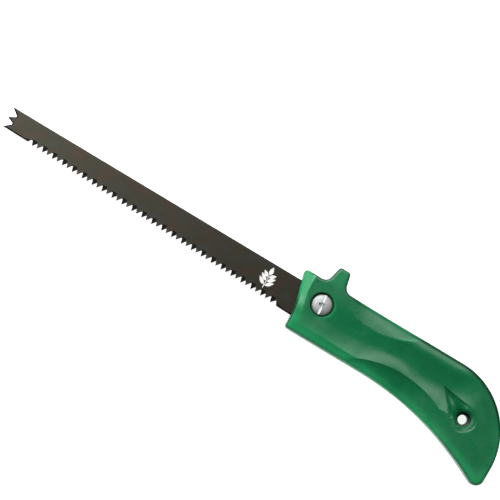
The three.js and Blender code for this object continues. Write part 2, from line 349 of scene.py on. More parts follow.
OUTLINE = rounded_outline(HANDLE_CORNERS, 1.2)
FRONT_EDGE = [p for p in spaced(rounded_outline(HANDLE_CORNERS, 2.0), 2.0)
              if p[0] < FRONT_X + 1.2 and -24.0 < p[1] < 15.0]
GOUGE_APEX = Vector((96.1, -4.0))
GOUGE_RADIUS = 8.95
GOUGE_REACH = Vector(HANG) - GOUGE_APEX
GOUGE_AXIS = GOUGE_REACH.normalized()
GOUGE_SPREAD = math.asin(GOUGE_RADIUS / GOUGE_REACH.length)
FLOOR_TOP = 0.1
FLOOR_LOW = -0.42
BOWL_DEPTH = 1.3
LIP_DEPTH = 0.55
LIFT = 0.10

CHANNEL_DEPTH = 3.0
CHANNEL_TOP_Y = 9.5
THUMB_SLOPE = 0.36
FINGER_DEPTH = 3.3
LAND_SLOPE = 0.16
SPINE_SLOPE = 0.18
EDGE_RADIUS = 1.7
FRONT_SLOPE = 0.72
FRONT_EASE = 0.12
TAIL_CROWN = 0.9

RING_GAPS = (0.12, 0.35, 0.7, 1.15, 1.7, 2.35, 3.1)
GRID_STEP = 1.0
FINE_STEP = 0.45


def gouge_outline():
    """The teardrop hollow round the hanging hole: a pointed apex with tangents to a circle."""
    heading = math.atan2(GOUGE_REACH.y, GOUGE_REACH.x)
    start = heading - math.pi / 2 - GOUGE_SPREAD
    end = heading + math.pi / 2 + GOUGE_SPREAD
    return [tuple(GOUGE_APEX)] + arc(*HANG, GOUGE_RADIUS, start, end, 0.8)


GOUGE = gouge_outline()


def valley_y(x):
    """The bottom line of the long channel down the grip."""
    return -8.5 + 4.5 * smooth(20.0, 64.0, x) - 1.3 * smooth(64.0, 80.0, x)


def lower_crest_y(x):
    """The crest under the channel: straight at first, then the finger scoop's arc."""
    cx, cy, radius = FINGER
    span = positive(radius ** 2 - (x - cx) ** 2)
    return np.maximum(CREST_Y, cy + np.sqrt(span))


def channel_drop(x, y):
    """How far the long channel lies under the face."""
    depth = CHANNEL_DEPTH * smooth(3.0, 30.0, x) * fall(102.0, 122.0, x)
    depth = depth * (1 + 0.22 * smooth(72.0, 94.0, x))
    valley = valley_y(x)
    crest = lower_crest_y(x)
    bend = 1.4 + 0.35 * smooth(35.0, 65.0, x)
    low_crest = 1 - 0.55 * fall(38.0, 58.0, x)
    low_crest = low_crest - 0.68 * smooth(60.0, 76.0, x) * fall(78.0, 102.0, x)
    rise = positive((y - valley) / (CHANNEL_TOP_Y - valley)) ** bend
    upper = rise / (1 + rise ** 7) ** (1 / 7)
    lower = low_crest * np.clip((valley - y) / (valley - crest), 0.0, 1.0) ** 1.8
    shallow_start = 0.9 * smooth(-9.0, 6.0, x) * fall(4.0, 34.0, x)
    reach = np.clip((y - crest) / 10.0, 0.0, 1.0)
    dish = np.where(y < crest + 10.0, reach ** 1.2, 1.0) * fall(-6.0, 10.0, y)
    return depth * (1 - np.where(y > valley, upper, lower)) + shallow_start * dish


def scoop_drops(x, y):
    """The thumb scoop at the spine, the finger scoop at the belly, and the land between."""
    thumb_drop = THUMB_SLOPE * positive(depth_in(THUMB, x, y)) * smooth(4.0, 30.0, x)
    finger = positive(depth_in(FINGER, x, y))
    finger_drop = FINGER_DEPTH * (1 - np.exp(-finger / 5.0)) * fall(98.0, 122.0, x)
    land_drop = LAND_SLOPE * positive(CREST_Y - y) * fall(34.0, 60.0, x)
    spine_drop = SPINE_SLOPE * positive(y - 7.0) + 0.12 * positive(y - CHANNEL_TOP_Y)
    spine_drop = spine_drop * smooth(30.0, 60.0, x) * fall(95.0, 112.0, x)
    return thumb_drop + np.maximum(finger_drop, land_drop) + spine_drop


def gouge_frame(x, y):
    """Distance along the gouge from its apex, and the side position: -1 and 1 on its edges."""
    dx, dy = x - GOUGE_APEX.x, y - GOUGE_APEX.y
    along = dx * GOUGE_AXIS.x + dy * GOUGE_AXIS.y
    across = dy * GOUGE_AXIS.x - dx * GOUGE_AXIS.y
    return along, across / (math.tan(GOUGE_SPREAD) * np.clip(along, 0.5, None))


def gouge_line(side, start, stop):
    """A straight line inside the gouge at a constant side position."""
    across = Vector((-GOUGE_AXIS.y, GOUGE_AXIS.x))
    slope = side * math.tan(GOUGE_SPREAD)
    return [tuple(GOUGE_APEX + GOUGE_AXIS * a + across * (slope * a))
            for a in np.arange(start, stop, 0.7)]


def gouge_drop(points, x, y):
    """The teardrop hollow: two steep walls, a narrow floor, and a bowl round the hole."""
    rim = distance_to_path(points, GOUGE)
    within = inside(points, GOUGE)
    along, side = gouge_frame(x, y)
    hollow = 0.25 + 0.15 * np.clip(along, 0.0, 24.0) + 0.03 * np.clip(along - 12.5, 0.0, 9.0) ** 2
    wall_up = np.clip((1 - side) / (1 - FLOOR_TOP), 0.0, 1.0)
    wall_low = np.clip((1 + side) / (1 + FLOOR_LOW), 0.0, 1.0)
    floor_tilt = 0.5 * np.clip(side - FLOOR_LOW, 0.0, FLOOR_TOP - FLOOR_LOW)
    beam = hollow * np.minimum(wall_up, wall_low) * (1 + floor_tilt)
    inward = positive(depth_in((*HANG, GOUGE_RADIUS), x, y))
    heading = np.arctan2(y - HANG[1], x - HANG[0])
    facing = np.exp(-((heading + math.radians(42)) / math.radians(34)) ** 2)
    lip = LIP_DEPTH * np.clip(inward / 0.6, 0.0, 1.0) * facing
    low_side = np.exp(-((heading + math.radians(112)) / math.radians(38)) ** 2)
    bowl = BOWL_DEPTH * (inward / 6.5) ** 0.8 * (1 - 0.6 * low_side) + lip
    beam = beam * fall(24.0, 30.0, along)
    beam = beam * (1 - smooth(15.0, 23.0, along) * smooth(0.15, 0.8, np.abs(side)))
    lift = LIFT * fall(0.0, 4.4, rim) * (side > 0) * smooth(2.0, 7.0, along)
    lift = lift * fall(20.0, 26.0, along)
    lift = lift * np.where(within, fall(0.0, 1.2, rim), 1.0)
    return np.where(within, np.maximum(beam, bowl), 0.0) - lift


def edge_drop(x, y, rim):
    """The rounded outer edge, tighter round the tab and the horn."""
    radius = EDGE_RADIUS + 1.1 * fall(-26.0, -14.0, y - 0.4 * np.clip(100.0 - x, -60.0, 0.0))
    inner = np.clip(rim, 0.0, radius)
    return radius - np.sqrt(positive(radius ** 2 - (radius - inner) ** 2))


def front_width(y):
    return 5.2 + 1.0 * smooth(0.0, 14.0, y)


def front_drop(points, y):
    """The wide chamfer down the front edge."""
    gap = distance_to_path(points, FRONT_EDGE, closed=False)
    slope = 0.04 + FRONT_SLOPE * smooth(-12.0, 3.0, y)
    reach = positive(front_width(y) - gap)
    eased = reach - FRONT_EASE * (1 - np.exp(-reach / FRONT_EASE))
    return slope * eased * smooth(-25.5, -21.0, y)


def surface_z(points):
    """Height of the shell's outer face at each point."""
    pts = np.asarray(points, float)
    x, y = pts[:, 0], pts[:, 1]
    rim = distance_to_path(pts, OUTLINE)
    z = FACE - TAIL_CROWN * smooth(112.0, TAIL_X, x) - channel_drop(x, y) - scoop_drops(x, y)
    z = z - gouge_drop(pts, x, y) - front_drop(pts, y) - edge_drop(x, y, rim)
    return np.minimum(z, FACE)


def crest_lines():
    """Polylines that the mesh must follow, so that the creases come out clean."""
    tx, ty, tr = THUMB
    fx, fy, fr = FINGER
    thumb = arc(tx, ty, tr, math.radians(-118), math.radians(-54), 1.0)
    finger_start = math.pi - math.asin((CREST_Y - fy) / fr)
    finger = arc(fx, fy, fr, finger_start, math.radians(60), 1.0)
    land = [(x, CREST_Y) for x in np.arange(-8.0, 36.0, 1.2)]
    inner = [gouge_line(FLOOR_TOP, 1.8, 17.5), gouge_line(FLOOR_LOW, 1.8, 17.5)]
    return [thumb, finger, land, front_crease()] + inner


def front_crease():
    """The chamfer's inner edge, found row by row."""
    line = []
    for y in np.arange(-21.0, 14.5, 0.9):
        row = [(x, y) for x in np.arange(HORN_X, -4.0, 0.04)]
        gap = distance_to_path(row, FRONT_EDGE, closed=False)
        line.append(row[np.nonzero(gap < front_width(y))[0][-1]])
    return line


def moved_in(path, gap):
    """The points of a closed outline moved inwards, without those that would cross over."""
    pts = np.asarray(path)
    along = np.roll(pts, -1, axis=0) - np.roll(pts, 1, axis=0)
    along /= np.linalg.norm(along, axis=1)[:, None]
    moved_pts = pts + gap * np.column_stack([-along[:, 1], along[:, 0]])
    keep = inside(moved_pts, path) & (distance_to_path(moved_pts, path) > 0.9 * gap)
    return [tuple(place) for place in moved_pts[keep]]


def boundary(faces):
    """The vertices round the outside of a flat mesh, in order."""
    edges = [(a, b) for face in faces for a, b in zip(face, face[1:] + face[:1])]
    known = set(edges)
    following = {a: b for a, b in edges if (b, a) not in known}
    ring = [next(iter(following))]
    while len(ring) < len(following):
        ring.append(following[ring[-1]])
    return ring


def grid_points(x_span, y_span, step, shift=0.0):
    """A grid of flat points, with every other row shifted along X."""
    x, y = np.meshgrid(np.arange(*x_span, step), np.arange(*y_span, step))
    x[1::2] += shift
    return np.column_stack([x.ravel(), y.ravel()])


def by_gouge(points):
    return inside(points, GOUGE) | (distance_to_path(points, GOUGE) < 3.0)


def face_mesh():
    """The shell's face as a flat mesh, finer at the rim, the creases and the gouge."""
    rim_line = spaced(rounded_outline(HANDLE_CORNERS, 1.0), 1.2)
    count = len(rim_line)
    points = list(rim_line)
    for gap in RING_GAPS:
        points += moved_in(rim_line, gap)
    edges = []
    coarse = grid_points((-24.0, 153.0), (-54.0, 29.0), GRID_STEP, GRID_STEP / 2)
    fine = grid_points((92.0, 130.0), (-29.0, 2.0), FINE_STEP)
    grid = np.concatenate([coarse[~by_gouge(coarse)], fine[by_gouge(fine)]])
    keep = inside(grid, OUTLINE) & (distance_to_path(grid, OUTLINE) > RING_GAPS[-1] + 0.4)
    for line in crest_lines() + [GOUGE + GOUGE[:1]]:
        keep &= distance_to_path(grid, line, closed=False) > 0.3
        kept = [p for p, near, d in zip(line, inside(line, OUTLINE), distance_to_path(line, OUTLINE))
                if near and d > RING_GAPS[-1] + 0.2]
        edges += [(len(points) + k, len(points) + k + 1) for k in range(len(kept) - 1)]
        points += kept
    points += [tuple(p) for p in grid[keep]]
    verts, _, faces, *_ = delaunay_2d_cdt([Vector(p) for p in points], edges,
                                          [list(range(count))], 1, 1e-5)
    return np.array([tuple(v) for v in verts]), faces


def shell_block(name):
    """One shell before cutting: the sculpted face, straight sides and a flat parting face."""
    flat, faces = face_mesh()
    top = [(x, y, z) for (x, y), z in zip(flat, surface_z(flat))]
    ring = boundary(faces)
    groove = 0.3
    low = len(top)
    ring_points = [Vector((flat[i][0], flat[i][1])) for i in ring]
    side = [(p.x, p.y, PARTING + groove) for p in ring_points]
    lip = []
    for k, p in enumerate(ring_points):
        tangent = (ring_points[(k + 1) % len(ring)] - ring_points[k - 1]).normalized()
        lip.append((p.x - tangent.y * groove, p.y + tangent.x * groove, PARTING))
    size = len(ring)
    all_faces = [tuple(f) for f in faces]
    for k in range(size):
        n = (k + 1) % size
        all_faces.append((ring[n], ring[k], low + k, low + n))
        all_faces.append((low + n, low + k, low + size + k, low + size + n))
    all_faces.append(tuple(low + size + k for k in range(size - 1, -1, -1)))
    obj = mesh_object(name, top + side + lip, all_faces)
    return tidy_normals(obj)


# ---- cuts shared by both shells

def slot_shape():
    heel_start = math.pi - math.asin(SLOT_TOP_Y / SLOT_HEEL_RADIUS)
    points = [(-SLOT_REACH, SLOT_TOP_Y)]
    points += arc(0, 0, SLOT_HEEL_RADIUS, heel_start, math.radians(80), 1.0)
    points += [SLOT_SHOULDER, SLOT_TAIL, (SLOT_TAIL[0], -SLOT_REACH), (-SLOT_REACH, -SLOT_REACH)]
    return prism(points[::-1], -SLOT_HALF_WIDTH, SLOT_HALF_WIDTH)


def core_cutter():
    """The hollows inside a shell, with ribs and bosses left standing."""
    outline = rounded_outline(inset_corners(HANDLE_CORNERS, CORE_WALL), 1.5)
    core = solid("core", prism(outline, -1.0, CORE_DEPTH))
    length = TAIL_X - CORE_START_X
    window = solid("window", block(length, 2 * SLOT_REACH, -2.0, CORE_DEPTH + 1,
                                   CORE_START_X + length / 2))
    core = combine(core, window, "INTERSECT")
    for k in range(1, RIB_COUNT):
        rib_x = CORE_START_X + k * RIB_PITCH
        cut(core, block(RIB_THICKNESS, 2 * SLOT_REACH, -2.0, CORE_DEPTH + 1, rib_x))
    bosses = [(*place, BOSS_RADIUS) for place in SHELL_SCREWS.values()]
    for x, y, radius in bosses + [(*HANG, HANG_BOSS_RADIUS)]:
        cut(core, bore(radius, -2.0, CORE_DEPTH + 1, x, y, 48))
    return core


def flared_bore(radius, low, mouth, flare, x=0.0, y=0.0, sides=96):
    """A bore whose mouth is eased by a small round."""
    profile = [(0, low), (radius, low)]
    for k in range(6):
        a = math.radians(90 * k / 5)
        profile.append((radius + flare * (1 - math.cos(a)), mouth - flare * (1 - math.sin(a))))
    profile += [(radius + flare, mouth + 3), (0, mouth + 3)]
    return turned(profile, x, y, sides)


def hang_mouth():
    """The wide outer part of the hanging hole, a little off the narrow part's axis."""
    profile = [(0, 3.0), (4.2, 3.0), (4.6, 3.2), (4.75, 3.7), (4.85, 7.8), (4.93, 8.15), (5.15, 8.5),
               (5.5, 8.8), (5.9, 9.1), (6.3, 9.4), (6.3, FACE + 2), (0, FACE + 2)]
    return turned(profile, *HANG_MOUTH, 96)


def shell(name, near):
    """The near shell, or its mirrored twin with a nut pocket and the screws' recesses."""
    obj = shell_block(name)
    cut(obj, slot_shape())
    combine(obj, core_cutter())
    cut(obj, bore(HANG_RADIUS, -1, 4.0, *HANG, 96), hang_mouth(),
        bore(BUSH_RADIUS + FIT_GAP, -1, CHEEK_TOP + 1),
        bore(PIN_RADIUS + FIT_GAP, -1, PIN_HALF + 0.2, *PIN, 48))
    if near:
        cut(obj, flared_bore(COUNTERBORE_RADIUS, CHEEK_TOP, FACE, 0.8))
    else:
        pocket = (NUT_HALF + 0.25) / math.cos(math.pi / 6)
        cut(obj, flared_bore(pocket, CHEEK_TOP, FACE, 0.4, sides=6))
    for x, y in SHELL_SCREWS.values():
        cut(obj, bore(PILOT_RADIUS, -1, 7.6 if near else FACE, x, y, 32))
        if not near:
            cut(obj, flared_bore(HEAD_BORE_RADIUS, 5.6, FACE, 0.3, x, y, 48))
    tidy_normals(obj, 30)
    if not near:
        mirror_z(obj)
    return obj


# ---- blade

GRIND = {"edge": (0.45, 0.2), "bevel": (1.05, 0.48)}


def tooth_line(x):
    return -8.1 - 0.04 * (x - FIRST_TOOTH_X)


def teeth():
    """(tip x, tip y, gullet x, gullet y, big) for each tooth, with the gullet that follows it."""
    rows = []
    for pair in range(TOOTH_PAIRS + 1):
        x = FIRST_TOOTH_X + pair * PAIR_PITCH
        last = pair == TOOTH_PAIRS
        gap = PAIR_PITCH - SMALL_STEP if last else SMALL_STEP
        tip = tooth_line(x) - 0.3
        rows.append((x, tip, x + 0.68 * gap, tip + 2.9, True))
        if not last:
            x += SMALL_STEP
            gap = PAIR_PITCH - SMALL_STEP
            tip = tooth_line(x)
            rows.append((x, tip, x + 0.68 * gap, tip + 3.3, False))
    return rows


def blade_outline():
    """The plate's outline with a mark on each point, which tells how its edge is ground."""
    opening = math.radians(56)
    prong_x = TIP_X + 0.4
    marked = [((-232.0, BACK_Y), "edge"), ((TIP_X, BACK_Y), "bevel")]
    for notch_y, prong_y in ((3.1, 0.1), (-2.6, -7.0)):
        notch = arc(FORK_X, notch_y, FORK_RADIUS, opening, -opening, 0.35)
        marked += [(p, "bevel") for p in notch + [(prong_x, prong_y)]]
    marked.append(((-221.0, -7.2), "bevel"))
    marked += [((-219.6, -5.2), "gullet"), ((-218.4, -5.0), "gullet")]
    for x, y, gullet_x, gullet_y, _ in teeth():
        marked.append(((x, y), "tip"))
        marked.append(((gullet_x - 0.3, gullet_y - 0.15), "gullet"))
        marked.append(((gullet_x + 0.3, gullet_y), "gullet"))
    marked.append(((-25.3, -15.8), "bevel"))
    marked.append((HEEL_CORNER, "bevel"))
    shoulder = math.pi - math.asin(BACK_Y / HEEL_RADIUS)
    marked += [(p, "heel") for p in arc(0, 0, HEEL_RADIUS, math.radians(-105), shoulder, 1.5)]
    marked.append(((-HEEL_RADIUS, BACK_Y), "edge"))
    return marked


def chamfer_points(marked):
    """A line set in from the plate's plain edges, where the chamfer or bevel starts."""
    outline = [p for p, _ in marked]
    ring = []
    for k, (p, kind) in enumerate(marked):
        q = outline[(k + 1) % len(outline)]
        following = marked[(k + 1) % len(marked)][1]
        if kind not in GRIND or following not in ("edge", "bevel", "heel"):
            continue
        width = GRIND[kind][0]
        length = math.hypot(q[0] - p[0], q[1] - p[1])
        count = max(1, round(length / 3.0))
        nx, ny = -(q[1] - p[1]) / length, (q[0] - p[0]) / length
        for step in range(count + 1):
            t = step / count
            place = (p[0] + (q[0] - p[0]) * t + nx * width, p[1] + (q[1] - p[1]) * t + ny * width)
            ring.append((place, 0.93 * width))
    places = [place for place, _ in ring]
    clear = distance_to_path(places, outline)
    keep = inside(places, outline)
    return [place for (place, least), d, kept in zip(ring, clear, keep) if kept and d > least]


def blade_plate():
    """The plate: chamfered back, bevelled fork and edges, teeth ground on alternate sides."""
    marked = blade_outline()
    points = [p for p, _ in marked]
    near = [BLADE_HALF - GRIND.get(kind, (0.0, 0.0))[1] for _, kind in marked]
    far = [-z for z in near]
    edges = []
    tips = [k for k, (_, kind) in enumerate(marked) if kind == "tip"]
    inner = []
    for k, (x, y, _, _, big) in zip(tips, teeth()):
        near[k], far[k] = (-0.38, -BLADE_HALF) if big else (0.1, -0.1)
        if big:
            near[k - 1] = near[k + 1] = 0.22
            shoulder = max(marked[k - 1][0][1], marked[k + 1][0][1]) + 0.9
            inner.append(((marked[k - 1][0][0] + 0.1, shoulder), k - 1))
            inner.append(((marked[k + 1][0][0] - 0.1, shoulder), k + 1))
        else:
            inner.append(((x + 0.4, y + 2.4), k))
    outline_count = len(points)
    for place, k in inner:
        edges.append((len(points), k))
        points.append(place)
    points += chamfer_points(marked)
    points += [(x, y) for x in np.arange(-232.0, -20.0, 6.0) for y in (-2.0, 3.0)]
    near += [BLADE_HALF] * (len(points) - outline_count)
    far += [-BLADE_HALF] * (len(points) - outline_count)
    verts, _, faces, source, *_ = delaunay_2d_cdt(
        [Vector(p) for p in points], edges, [list(range(outline_count))], 1, 1e-6)
    set_out = 0.22
    big_x = [row[0] for row in teeth() if row[4]]
    top, bottom = [], []
    for v, origins in zip(verts, source):
        zn = near[origins[0]] if origins else BLADE_HALF
        zf = far[origins[0]] if origins else -BLADE_HALF
        root = tooth_line(v.x) + 3.2
        lean = min(max((root - v.y) / 3.2, 0.0), 1.0) if -218.6 < v.x < -26.0 else 0.0
        nearest = min(abs(v.x - x) for x in big_x)
        bend = set_out * lean * (1 if nearest < 1.2 else -1)
        top.append((v.x, v.y, zn + bend))
        bottom.append((v.x, v.y, zf + bend))
    size = len(verts)
    all_faces = [tuple(f) for f in faces] + [tuple(size + i for i in reversed(f)) for f in faces]
    seen = {(a, b) for f in faces for a, b in zip(f, f[1:] + f[:1])}
    for a, b in seen:
        if (b, a) not in seen:
            all_faces.append((b, a, size + a, size + b))
    obj = solid("blade_plate", (top + bottom, all_faces), 12)
    cut(obj, bore(BUSH_RADIUS + 0.1, -1, 1, sides=96))
    return tidy_normals(obj, 12)


def leaf(x, y, heading, length, width):
    """A pointed leaf outline growing from (x, y)."""
    half = [(length * t, width / 2 * math.sin(math.pi * t ** 0.8)) for t in np.linspace(0, 1, 13)]
    return swung(half + [(a, -b) for a, b in half[-2:0:-1]], heading, x, y)


def blade_mark():
    """A plain printed sprig of leaves on the near side of the blade."""
    base = (-39.3, -10.0)
    stem_height = 9.6
    low, high = BLADE_HALF - 0.05, BLADE_HALF + 0.02
    stem = [(base[0] - 0.28, base[1]), (base[0] + 0.28, base[1]),
            (base[0] + 0.16, base[1] + stem_height), (base[0] - 0.16, base[1] + stem_height)]
    outlines = [stem, leaf(base[0], base[1] + stem_height - 0.3, math.radians(90), 5.8, 2.9)]
    for height, length in ((2.0, 6.4), (4.9, 6.1), (7.7, 5.2)):
        for side in (1, -1):
            heading = math.radians(90 - side * 52)
            outlines.append(leaf(base[0] + side * 0.45, base[1] + height, heading, length, 2.4))
    verts, faces = [], []
    for outline in outlines:
        v, f = prism(outline, low, high)
        faces += [tuple(i + len(verts) for i in face) for face in f]
        verts += v
    return solid("blade_mark", (verts, faces))


# ---- pivot hardware

def threaded(radius, depth, pitch, low, high, plain_from, x=0.0, y=0.0, sides=48):
    """A rod with a spiral thread up to plain_from and a plain shank above it."""
    rows = round((high - low) / (pitch / 8))
    verts, faces = [], []
    for r in range(rows + 1):
        z = low + (high - low) * r / rows
        for k in range(sides):
            phase = (z / pitch - k / sides) % 1.0
            groove = depth * (1 - abs(2 * phase - 1)) if z < plain_from else 0.0
            lead = min(1.0, (z - low) / pitch)
            reach = radius - groove - (1 - lead) * depth
            a = 2 * math.pi * k / sides
            verts.append((x + reach * math.cos(a), y + reach * math.sin(a), z))
    for r in range(rows):
        for k in range(sides):
            n = (k + 1) % sides
            faces.append((r * sides + k, r * sides + n, (r + 1) * sides + n, (r + 1) * sides + k))
    faces.append(tuple(range(sides - 1, -1, -1)))
    faces.append(tuple(rows * sides + k for k in range(sides)))
    return verts, faces


def cross_recess(length, width, top, depth, x=0.0, y=0.0, turn=0.0):
    """Two tapered wings that make a cross recess."""
    levels = ((top - depth, 0.35 * length / 2, 0.32 * width),
              (top + 1.0, 0.62 * length, 0.6 * width))
    faces = [(3, 2, 1, 0), (4, 5, 6, 7)]
    faces += [(k, (k + 1) % 4, (k + 1) % 4 + 4, k + 4) for k in range(4)]
    shapes = []
    for heading in (turn, turn + math.pi / 2):
        verts = []
        for z, reach, half in levels:
            corners = [(-reach, -half), (reach, -half), (reach, half), (-reach, half)]
            verts += [(a, b, z) for a, b in swung(corners, heading, x, y)]
        shapes.append((verts, faces))
    return shapes


def pivot_screw():
    """Wide low head with a combination drive, over a threaded shank."""
    base, height, radius = 7.15, 3.3, 6.9
    top = base + height
    rim = base + 1.3
    slot_half, slot_floor, slot_reach = 0.78, 0.45, 8.0
    profile = [(0, base), (radius - 0.15, base), (radius, base + 0.15), (radius, rim)]
    crown = [(radius * math.cos(a), rim + (top - rim) * math.sin(a) ** 0.92)
             for a in np.linspace(0.1, math.pi / 2, 14)]
    profile += crown[:-1] + [(0, top)]
    obj = solid("pivot_screw_body", turned(profile, sides=96))
    trough = [(slot_half * math.cos(a), top - slot_floor + 0.8 * math.sin(a))
              for a in np.linspace(math.pi, 2 * math.pi, 13)]
    trough += [(1.0, top + 1.0), (-1.0, top + 1.0)]
    verts = []
    for end in (-slot_reach, slot_reach):
        line = swung([(end, b) for b, _ in trough], DRIVE_TURN)
        verts += [(a, b, z) for (a, b), (_, z) in zip(line, trough)]
    size = len(trough)
    faces = [(k, (k + 1) % size, (k + 1) % size + size, k + size) for k in range(size)]
    faces += [tuple(range(size - 1, -1, -1)), tuple(range(size, 2 * size))]
    cut(obj, (verts, faces), *cross_recess(5.4, 1.7, top, 1.7, turn=DRIVE_TURN))
    shank = solid("shank", threaded(2.95, 0.5, 1.0, -10.6, base + 0.3, -3.5))
    obj = combine(obj, shank, "UNION")
    return tidy_normals(obj, 32)


def pivot_nut():
    high, low = -CHEEK_TOP - 0.05, -CHEEK_TOP - 5.05
    corner = NUT_HALF / math.cos(math.pi / 6)
    obj = solid("pivot_nut_body", bore(corner, low, high, sides=6))
    chamfer = [(0, low), (4.75, low), (corner + 0.3, low + 0.6), (corner + 0.3, high - 0.6),
               (4.75, high), (0, high)]
    obj = combine(obj, solid("chamfer", turned(chamfer, sides=96)), "INTERSECT")
    cut(obj, turned([(0, low - 1), (3.6, low - 1), (3.6, low), (3.05, low + 0.55),
                     (3.05, high + 1), (0, high + 1)], sides=64))
    return tidy_normals(obj, 25)


def eased_ring(name, inner, outer, low, high, ease=0.12):
    profile = [(inner + ease, low), (outer - ease, low), (outer, low + ease), (outer, high - ease),
               (outer - ease, high), (inner + ease, high), (inner, high - ease), (inner, low + ease)]
    return solid(name, turned(profile), 50)


def spring_washer():
    """A split spring washer: one turn of square wire with a small rise."""
    low, height, rise = CHEEK_TOP + 0.97, 0.85, 0.24
    inner, outer = 3.2, 5.6
    steps = 72
    verts, faces = [], []
    for k in range(steps + 1):
        a = math.radians(6 + 348 * k / steps)
        z = low + rise * k / steps
        for radius, up in ((inner, 0), (outer, 0), (outer, height), (inner, height)):
            verts.append((radius * math.cos(a), radius * math.sin(a), z + up))
    for k in range(steps):
        for j in range(4):
            n = (j + 1) % 4
            faces.append((4 * k + j, 4 * k + 4 + j, 4 * k + 4 + n, 4 * k + n))
    faces += [(0, 1, 2, 3), (4 * steps + 3, 4 * steps + 2, 4 * steps + 1, 4 * steps)]
    return solid("spring_washer_coil", (verts, faces))


def stop_pin():
    half = [(0, PIN_HALF), (PIN_RADIUS - 0.45, PIN_HALF), (PIN_RADIUS - 0.15, PIN_HALF - 0.15),
            (PIN_RADIUS, PIN_HALF - 0.45)]
    profile = [(radius, -z) for radius, z in half] + half[::-1]
    return solid("stop_pin_body", turned(profile, *PIN, 64), 50)


def shell_screw(node, x, y):
    """A self-tapping screw from the far side: pan head, cross recess and sharp thread."""
    seat, height, head = -5.65, 1.9, 2.7
    crown = [(head * math.cos(a), seat - 0.5 - (height - 0.5) * math.sin(a) ** 0.8)
             for a in np.linspace(math.pi / 2, 0.0, 9)]
    profile = [(0, crown[0][1])] + crown[1:] + [(head, seat - 0.1), (head - 0.1, seat), (0, seat)]
    obj = solid(node + "_body", turned(profile, x, y, 48))
    wings = cross_recess(3.1, 1.0, height - seat, 1.3, x, y, math.radians(20 + 37 * (x % 3)))
    for verts, faces in wings:
        cut(obj, ([(a, b, -c) for a, b, c in verts], [tuple(reversed(f)) for f in faces]))
    shank = solid("shank", threaded(1.45, 0.38, 1.1, seat - 0.4, 5.6, 9.0, x, y, 32))
    obj = combine(obj, shank, "UNION")
    point = solid("point", turned([(0, 5.5), (1.05, 5.5), (0.25, 7.3), (0, 7.4)], x, y, 32))
    obj = combine(obj, point, "UNION")
    return tidy_normals(obj, 32)


# ---- materials

HEEL_END = PIVOT.x - 20.0 * MM
TIP_END = PIVOT.x - 235.0 * MM


def map_range(tree, value, start, end, low, high, kind="LINEAR"):
    """Carries the span from start to end over to the span from low to high."""
    node = tree.nodes.new("ShaderNodeMapRange")
    node.interpolation_type = kind
    for socket, number in (("From Min", start), ("From Max", end), ("To Min", low), ("To Max", high)):
        node.inputs[socket].default_value = number
    tree.links.new(value, node.inputs["Value"])
    return node.outputs["Result"]


class Shader:
    """A principled material with short helpers for its nodes. Texture scales are per metre."""

    def __init__(self, name, **sockets):
        self.material = bpy.data.materials.new(name)
        self.material.use_nodes = True
        self.tree = self.material.node_tree
        self.bsdf = self.tree.nodes["Principled BSDF"]
        self.coords = self.tree.nodes.new("ShaderNodeTexCoord").outputs["Object"]
        for socket, value in sockets.items():
            self.bsdf.inputs[socket.replace("_", " ")].default_value = value

    def link(self, output, target):
        self.tree.links.new(output, target)

    def feed(self, value, target):
        """Sets a socket to a number or a colour, or links an output to it."""
        if isinstance(value, (int, float)):
            target.default_value = value
        elif isinstance(value, tuple):
            target.default_value = (*value, 1.0)
        else:
            self.link(value, target)

    def node(self, kind, **inputs):
        """A new node, with its inputs set or linked."""
        node = self.tree.nodes.new("ShaderNode" + kind)
        for name, value in inputs.items():
            self.feed(value, node.inputs[name])
        return node

    def stretched(self, scale):
        mapping = self.node("Mapping", Vector=self.coords)
        mapping.inputs["Scale"].default_value = scale
        return mapping.outputs["Vector"]

    def noise(self, scale, detail=3.0, roughness=0.55, coords=None):
        node = self.node("TexNoise", Scale=scale, Detail=detail, Roughness=roughness,
                         Vector=coords or self.coords)
        return node.outputs["Fac"]

    def along_x(self, start, end):
        """0 at one place along the saw and 1 at another, both in metres."""
        split = self.node("SeparateXYZ", Vector=self.coords)
        return self.grey(split.outputs["X"], 0.0, 1.0, start, end)

    def attribute(self, name):
        node = self.node("Attribute")
        node.attribute_name = name
        return node.outputs["Fac"]

    def ramp(self, fac, *stops):
        node = self.node("ValToRGB", Fac=fac)
        elements = node.color_ramp.elements
        while len(elements) < len(stops):
            elements.new(0.5)
        for element, (place, color) in zip(elements, stops):
            element.position = place
            element.color = (*color, 1.0)
        return node.outputs["Color"]

    def grey(self, fac, low, high, start=0.3, end=0.7):
        return map_range(self.tree, fac, start, end, low, high)

    def mix(self, fac, a, b):
        node = self.node("Mix")
        node.data_type = "RGBA"
        for value, socket in ((fac, 0), (a, 6), (b, 7)):
            self.feed(value, node.inputs[socket])
        return node.outputs[2]

    def product(self, a, b):
        node = self.node("Math")
        node.operation = "MULTIPLY"
        for value, target in zip((a, b), node.inputs):
            self.feed(value, target)
        return node.outputs[0]

    def bump(self, height, strength, distance, under=None):
        node = self.node("Bump", Height=height, Strength=strength, Distance=distance)
        if under is not None:
            self.link(under, node.inputs["Normal"])
        return node.outputs["Normal"]

    def finish(self, color=None, roughness=None, normal=None):
        for output, socket in ((color, "Base Color"), (roughness, "Roughness"), (normal, "Normal")):
            if output is not None:
                self.link(output, self.bsdf.inputs[socket])
        return self.material


